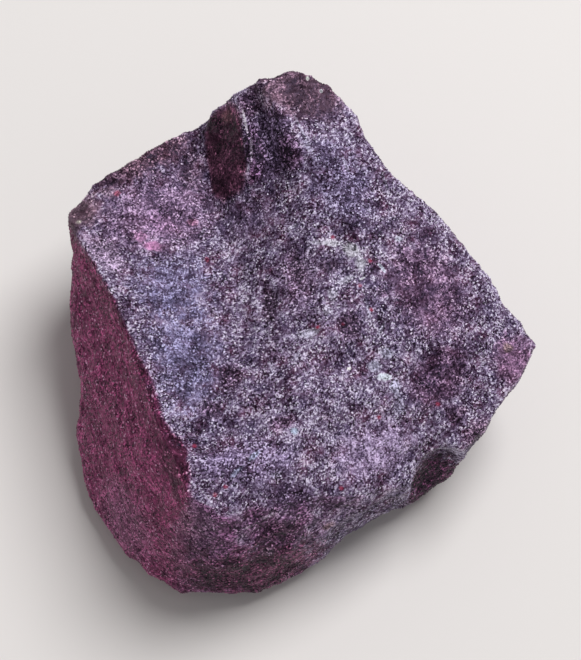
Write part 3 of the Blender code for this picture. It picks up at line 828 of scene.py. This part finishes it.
def face_lift(tree, place, facing, crest, clusters, left, front):
    """How pale the grains are: in clusters and on the block's faces, with painted light on crests, painted
    shade in hollows, and painted shade where the left face turns upwards.
    """
    lift = noise_about_zero(tree, clusters)
    lift = add(tree, "ShaderNodeMath", {0: lift, 1: CLUSTER_LIFT, 2: EVEN_LIFT}, operation="MULTIPLY_ADD")
    calm = add(tree, "ShaderNodeMath", {0: left, 1: LEFT_CALM, 2: 1.0}, operation="MULTIPLY_ADD")
    lift = add(tree, "ShaderNodeMath", {0: lift, 1: calm}, operation="MULTIPLY")
    facing_up = add(tree, "ShaderNodeSeparateXYZ", {0: facing}, out=2)
    lip = add(tree, "ShaderNodeMapRange", {"Value": facing_up, **span(*LIP_FACING, 0.0, LIP_PAINTED_SHADE)})
    crest_mm = add(tree, "ShaderNodeMath", {0: crest, 1: 1 / MM}, operation="MULTIPLY")
    for share, amount in (
        (left, LEFT_LIFT),
        (front, FRONT_LIFT),
        (left, lip),
        (left, left_streaks(tree, place)),
        (crest_mm, CREST_PAINTED_LIGHT_AND_SHADE),
    ):
        lift = add(tree, "ShaderNodeMath", {0: share, 1: amount, 2: lift}, operation="MULTIPLY_ADD")
    return lift


def pale_films(tree, place, clusters, not_left):
    """The lift of thin pale films that run in wavy lines over the paler clusters."""
    inputs = {"Vector": place, "Scale": 1 / FILM_WIDTH, "Detail": 2.0, "Roughness": 0.6}
    noise = add(tree, "ShaderNodeTexNoise", inputs)
    apart = add(tree, "ShaderNodeMath", {0: noise_about_zero(tree, noise)}, operation="ABSOLUTE")
    film = add(tree, "ShaderNodeMapRange", {"Value": apart, **span(0.0, FILM_HALF_WIDTH, FILM_LIFT, 0.0)})
    pale = add(tree, "ShaderNodeMapRange", {"Value": clusters, **span(*FILM_SPAN)})
    for share in (pale, not_left):
        film = add(tree, "ShaderNodeMath", {0: film, 1: share}, operation="MULTIPLY")
    return film


def with_marks(tree, place, rag, lift, contrast):
    """The lift and the contrast with those of the marks added, and the coloured marks with their shares."""
    coloured = []
    for mark in (*ZONES.values(), *SPOTS.values()):
        distance = within(tree, place, mark.centre, mark.half_sizes, mark.turn, mark.boxy)
        distance = add(
            tree, "ShaderNodeMath", {0: rag, 1: 2 * mark.ragged, 2: distance}, operation="MULTIPLY_ADD"
        )
        share = add(
            tree,
            "ShaderNodeMapRange",
            {"Value": distance, **span(1 - mark.soft, 1.0, 1.0, 0.0)},
            interpolation_type="SMOOTHSTEP",
        )
        if mark.lift:
            lift = add(tree, "ShaderNodeMath", {0: share, 1: mark.lift, 2: lift}, operation="MULTIPLY_ADD")
        if mark.contrast:
            inputs = {0: share, 1: mark.contrast, 2: contrast}
            contrast = add(tree, "ShaderNodeMath", inputs, operation="MULTIPLY_ADD")
        if mark.share:
            coloured.append((share, mark))
    return lift, contrast, coloured


def tinted(tree, colour, share, code):
    """The colour with this share of the tint's hue and saturation, and its own brightness."""
    inputs = {0: share, 6: colour, 7: linear(code)}
    return add(tree, "ShaderNodeMix", inputs, out=2, data_type="RGBA", blend_type="COLOR")


def tarnished(tree, place, step, colour):
    """The colour with crimson and steely patches of tarnish, most of it on the dark grains."""
    noise = add(
        tree,
        "ShaderNodeTexNoise",
        {"Vector": place, "Scale": 1 / TARNISH_WIDTH, "Detail": 3.0, "Roughness": 0.6},
    )
    darkness = add(tree, "ShaderNodeMapRange", {"Value": step, **span(*TARNISH_STEPS, 1.0, TARNISH_LEAST)})
    for noise_span, code, most in TARNISH.values():
        share = add(tree, "ShaderNodeMapRange", {"Value": noise, **span(*noise_span, 0.0, most)})
        share = add(tree, "ShaderNodeMath", {0: share, 1: darkness}, operation="MULTIPLY")
        colour = tinted(tree, colour, share, code)
    return colour


def with_red_flecks(tree, place, colour, red):
    for centre in RED_FLECKS.values():
        distance = within(tree, place, centre, RED_FLECK_SIZE, 0)
        inputs = {"Value": distance, **span(*RED_FLECK_EDGE, RED_FLECK_SHARE, 0.0)}
        share = add(tree, "ShaderNodeMapRange", inputs)
        colour = add(tree, "ShaderNodeMix", {0: share, 6: colour, 7: red}, out=2, data_type="RGBA")
    return colour


def grain_bump(tree, place, grain):
    """Domed grains with fine pitting on each."""
    height = add(tree, "ShaderNodeTexVoronoi", {"Vector": place, "Scale": MM / grain})
    fine = add(tree, "ShaderNodeTexNoise", {"Vector": place, "Scale": 1 / PITTING_WIDTH, "Detail": 2.0})
    height = add(tree, "ShaderNodeMath", {0: fine, 1: PITTING_HEIGHT, 2: height}, operation="MULTIPLY_ADD")
    inputs = {"Height": height, "Strength": BUMP_STRENGTH, "Distance": BUMP_DEPTH * grain}
    return add(tree, "ShaderNodeBump", inputs, invert=True)


def ore_material(name, ore, grain_from):
    """Granular cinnabar ore as it broke: a mass of small crystals with an adamantine lustre, a few of them
    painted pale as glints, so that it reads as dark purple-grey with a steely sparkle. grain_from is "cells",
    which draws the grains in the finish, or "attribute", where each grain is a crystal of its own."""
    material = bpy.data.materials.new(name)
    material.use_nodes = True
    tree = material.node_tree
    tree.nodes.clear()
    place_m = add(tree, "ShaderNodeTexCoord", out=3)
    place = add(tree, "ShaderNodeVectorMath", {0: place_m, "Scale": 1 / MM}, operation="SCALE")
    facing = add(tree, "ShaderNodeAttribute", out=1, attribute_name="facing")
    crest = add(tree, "ShaderNodeAttribute", out=2, attribute_name="crest")

    # Each grain has three random numbers. Their sum is spread nearly as a bell curve, in standard steps.
    if grain_from == "attribute":
        grain = add(tree, "ShaderNodeAttribute", out=1, attribute_name="grain")
    else:
        grain = add(tree, "ShaderNodeTexVoronoi", {"Vector": place, "Scale": MM / ore.grain}, out=1)
    doubled = add(
        tree, "ShaderNodeVectorMath", {0: grain, 1: (2.0, 2.0, 2.0)}, out=1, operation="DOT_PRODUCT"
    )
    step = add(tree, "ShaderNodeMath", {0: doubled, 1: -3.0}, operation="ADD")

    clusters = add(
        tree,
        "ShaderNodeTexNoise",
        {"Vector": place, "Scale": 1 / CLUSTER_WIDTH, "Detail": 5.0, "Roughness": 0.7},
    )
    rag = add(
        tree, "ShaderNodeTexNoise", {"Vector": place, "Scale": 1 / RAG_WIDTH, "Detail": 3.0, "Roughness": 0.7}
    )
    rag = noise_about_zero(tree, rag)
    left, front, not_left = block_faces(tree, place, facing, rag)
    contrast = face_contrast(tree, place, left, front)
    lift = face_lift(tree, place, facing, crest, clusters, left, front)
    film = pale_films(tree, place, clusters, not_left)
    lift = add(tree, "ShaderNodeMath", {0: film, 1: lift}, operation="ADD")

    # Painted glints: a few grains in a hundred are painted paler, standing in for facets that catch the
    # light, and more so on the left and front.
    third = add(tree, "ShaderNodeSeparateXYZ", {0: grain}, out=2)
    spark = add(tree, "ShaderNodeMapRange", {"Value": third, **span(*PAINTED_GLINT_SPAN)})
    fresh = add(tree, "ShaderNodeMath", {0: left, 1: front}, operation="ADD")
    inputs = {0: fresh, 1: SIDE_FACES_GLINT_LIFT, 2: PAINTED_GLINT_LIFT}
    spark_lift = add(tree, "ShaderNodeMath", inputs, operation="MULTIPLY_ADD")
    lift = add(tree, "ShaderNodeMath", {0: spark, 1: spark_lift, 2: lift}, operation="MULTIPLY_ADD")

    lift, contrast, coloured = with_marks(tree, place, rag, lift, contrast)
    step = add(tree, "ShaderNodeMath", {0: step, 1: contrast, 2: lift}, operation="MULTIPLY_ADD")
    colour = ramp(tree, step, [(stop, getattr(ore, shade)) for stop, shade in SHADES])
    colour = tarnished(tree, place, step, colour)

    # The left and front faces have a maroon cast, partly the ore's own colour and partly painted reflection
    # of red light, and the coloured marks have their own colours, among them painted shade, painted
    # highlights, a painted sheen and a painted red reflection.
    kept = add(tree, "ShaderNodeMath", {0: spark, 1: PAINTED_GLINT_TINT, 2: 1.0}, operation="MULTIPLY_ADD")
    casts = [(left, kept, LEFT_MAROON_AND_RED_REFLECTION), (front, kept, FRONT_MAROON_AND_RED_REFLECTION)]
    casts += [(share, mark.share, mark.colour) for share, mark in coloured]
    for share, strength, code in casts:
        share = add(tree, "ShaderNodeMath", {0: share, 1: strength}, operation="MULTIPLY")
        colour = tinted(tree, colour, share, code)
    colour = with_red_flecks(tree, place, colour, ore.red)

    second = add(tree, "ShaderNodeSeparateXYZ", {0: grain}, out=1)
    inputs = {"Value": second, **span(0.0, 1.0, *POLISH)}
    shader = add(
        tree,
        "ShaderNodeBsdfPrincipled",
        {
            "Base Color": colour,
            "Roughness": add(tree, "ShaderNodeMapRange", inputs),
            "Normal": grain_bump(tree, place, ore.grain),
            "IOR": INDEX,
            "Specular IOR Level": SPECULAR_LEVEL,
            "Specular Tint": linear(SPECULAR_TINT),
        },
    )
    add(tree, "ShaderNodeOutputMaterial", {"Surface": shader})
    return material


# --- The stage -------------------------------------------------------------------------------------------

FLOOR_WIDTH = 3000.0
FLOOR_ROUGHNESS = 0.9
LAMP_WIDTH = 500.0
LAMP_DISTANCE = 900.0
LAMP_AZIMUTH = 45.0  # degrees from +X towards +Y
LAMP_ELEVATION = 60.0
CAMERA_TARGET = (-0.8, 0.9, 15.0)
CAMERA_AZIMUTH = -90.0
CAMERA_ELEVATION = 70.0
CAMERA_DISTANCE = 300.0
VIEW_HEIGHT = 78.57  # what the camera sees from bottom to top at its target
SENSOR_HEIGHT = 24.0
CLIP_START = 10.0


def aim(azimuth, elevation, distance):
    """The point this far from the origin, in the unit of the distance, in this direction in degrees."""
    a, e = math.radians(azimuth), math.radians(elevation)
    return Vector((math.cos(e) * math.cos(a), math.cos(e) * math.sin(a), math.sin(e))) * distance


def new_floor(stage):
    bm = bmesh.new()
    bmesh.ops.create_grid(bm, x_segments=1, y_segments=1, size=FLOOR_WIDTH * MM / 2)
    mesh = bpy.data.meshes.new("floor")
    bm.to_mesh(mesh)
    bm.free()
    material = bpy.data.materials.new("matt paper sweep")
    material.use_nodes = True
    shader = material.node_tree.nodes["Principled BSDF"]
    shader.inputs["Base Color"].default_value = stage.floor
    shader.inputs["Roughness"].default_value = FLOOR_ROUGHNESS
    mesh.materials.append(material)
    floor = bpy.data.objects.new("floor", mesh)
    bpy.context.scene.collection.objects.link(floor)


def new_light(stage):
    lamp = bpy.data.lights.new("soft lamp", "AREA")
    lamp.shape = "DISK"
    lamp.size = LAMP_WIDTH * MM
    lamp.energy = stage.lamp_power
    holder = bpy.data.objects.new("soft lamp", lamp)
    away = aim(LAMP_AZIMUTH, LAMP_ELEVATION, LAMP_DISTANCE * MM)
    holder.location = away
    holder.rotation_euler = away.to_track_quat("Z", "Y").to_euler()
    bpy.context.scene.collection.objects.link(holder)
    world = bpy.data.worlds.new("even fill")
    world.use_nodes = True
    background = world.node_tree.nodes["Background"]
    background.inputs["Color"].default_value = (1.0, 1.0, 1.0, 1.0)
    background.inputs["Strength"].default_value = stage.fill
    bpy.context.scene.world = world


def new_camera():
    lens = bpy.data.cameras.new("camera")
    lens.sensor_fit = "VERTICAL"
    lens.sensor_height = SENSOR_HEIGHT
    lens.lens = SENSOR_HEIGHT * CAMERA_DISTANCE / VIEW_HEIGHT
    lens.clip_start = CLIP_START * MM
    camera = bpy.data.objects.new("camera", lens)
    away = aim(CAMERA_AZIMUTH, CAMERA_ELEVATION, CAMERA_DISTANCE * MM)
    camera.location = Vector(CAMERA_TARGET) * MM + away
    camera.rotation_euler = Euler((math.radians(90 - CAMERA_ELEVATION), 0, 0))
    bpy.context.scene.collection.objects.link(camera)
    bpy.context.scene.camera = camera


# --- Operators, panel and registration ---------------------------------------------------------------------


class CINNABAR_OT_lump(bpy.types.Operator):
    """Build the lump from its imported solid, with the relief and the finish of granular ore"""

    bl_idname = "cinnabar.lump"
    bl_label = "Build the lump"

    def execute(self, context):
        ore, sizes = context.scene.cinnabar_ore, context.scene.cinnabar_lump
        material = ore_material(MASS_FINISH, ore, "cells")
        lump = even_copy(sizes)
        given = {
            "Hackle size": sizes.hackle,
            "Hackle height": sizes.hackle_height,
            "Rubble size": sizes.rubble,
            "Rubble height": sizes.rubble_height,
            "Grit size": sizes.grit,
            "Grit height": sizes.grit_height,
        }
        lump.data = with_tree(lump, relief_tree(given), given)
        lump.data.materials.clear()
        lump.data.materials.append(material)
        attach(lump, BODY)
        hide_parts(NODE)
        return {"FINISHED"}


class CINNABAR_OT_grains(bpy.types.Operator):
    """Stand the corners of small crystals all over the lump, except where it lies on the table"""

    bl_idname = "cinnabar.grains"
    bl_label = "Sow the grains"

    def execute(self, context):
        ore, sizes = context.scene.cinnabar_ore, context.scene.cinnabar_grains
        ore_material(CORNER_FINISH, ore, "attribute")
        lump = bpy.data.objects[LUMP]
        for number, (name, (facing, across, gap)) in enumerate(GRAIN_FIELDS.items()):
            distance = getattr(sizes, gap)
            given = {
                "Least facing up": facing[0],
                "Most facing up": facing[1],
                "Left limit": across[0] * MM,
                "Right limit": across[1] * MM,
                "Gap": distance,
                "Density": GRAIN_CROWDING / distance**2,
                "Least": sizes.least,
                "Greatest": sizes.greatest,
                "Tilt": sizes.tilt,
                "Seed": sizes.seed + number,
            }
            ground = bpy.data.objects.new(name, lump.data.copy())
            bpy.context.scene.collection.objects.link(ground)
            ground.data = with_tree(ground, grain_tree(given), given)
            ground.data.name = name
            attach(ground, BODY)
        return {"FINISHED"}


class CINNABAR_OT_stage(bpy.types.Operator):
    """Set the lump on a pale floor under one soft lamp, with the camera nearly overhead"""

    bl_idname = "cinnabar.stage"
    bl_label = "Set the stage"

    def execute(self, context):
        stage = context.scene.cinnabar_stage
        context.scene.view_settings.view_transform = "Standard"
        new_floor(stage)
        new_light(stage)
        new_camera()
        return {"FINISHED"}


class CINNABAR_PT_panel(bpy.types.Panel):
    """The lump's parts and their sizes"""

    bl_label = "Cinnabar ore specimen"
    bl_idname = "CINNABAR_PT_panel"
    bl_space_type = "VIEW_3D"
    bl_region_type = "UI"
    bl_category = "Cinnabar"

    def draw(self, context):
        for group, operator in (
            ("cinnabar_ore", None),
            ("cinnabar_lump", CINNABAR_OT_lump.bl_idname),
            ("cinnabar_grains", CINNABAR_OT_grains.bl_idname),
            ("cinnabar_stage", CINNABAR_OT_stage.bl_idname),
        ):
            box = self.layout.box()
            settings = getattr(context.scene, group)
            for name in settings.__annotations__:
                box.prop(settings, name)
            if operator:
                box.operator(operator)


GROUPS = {
    "cinnabar_ore": OreFinish,
    "cinnabar_lump": LumpSizes,
    "cinnabar_grains": GrainSizes,
    "cinnabar_stage": StageSettings,
}
OPERATORS = (CINNABAR_OT_lump, CINNABAR_OT_grains, CINNABAR_OT_stage)


def register():
    for made in (*GROUPS.values(), *OPERATORS, CINNABAR_PT_panel):
        bpy.utils.register_class(made)
    for name, group in GROUPS.items():
        setattr(bpy.types.Scene, name, PointerProperty(type=group))


def unregister():
    for name in GROUPS:
        delattr(bpy.types.Scene, name)
    for made in reversed((*GROUPS.values(), *OPERATORS, CINNABAR_PT_panel)):
        bpy.utils.unregister_class(made)


def main():
    register()
    bpy.ops.cinnabar.lump()
    bpy.ops.cinnabar.grains()
    bpy.ops.cinnabar.stage()


if __name__ == "__main__":
    main()
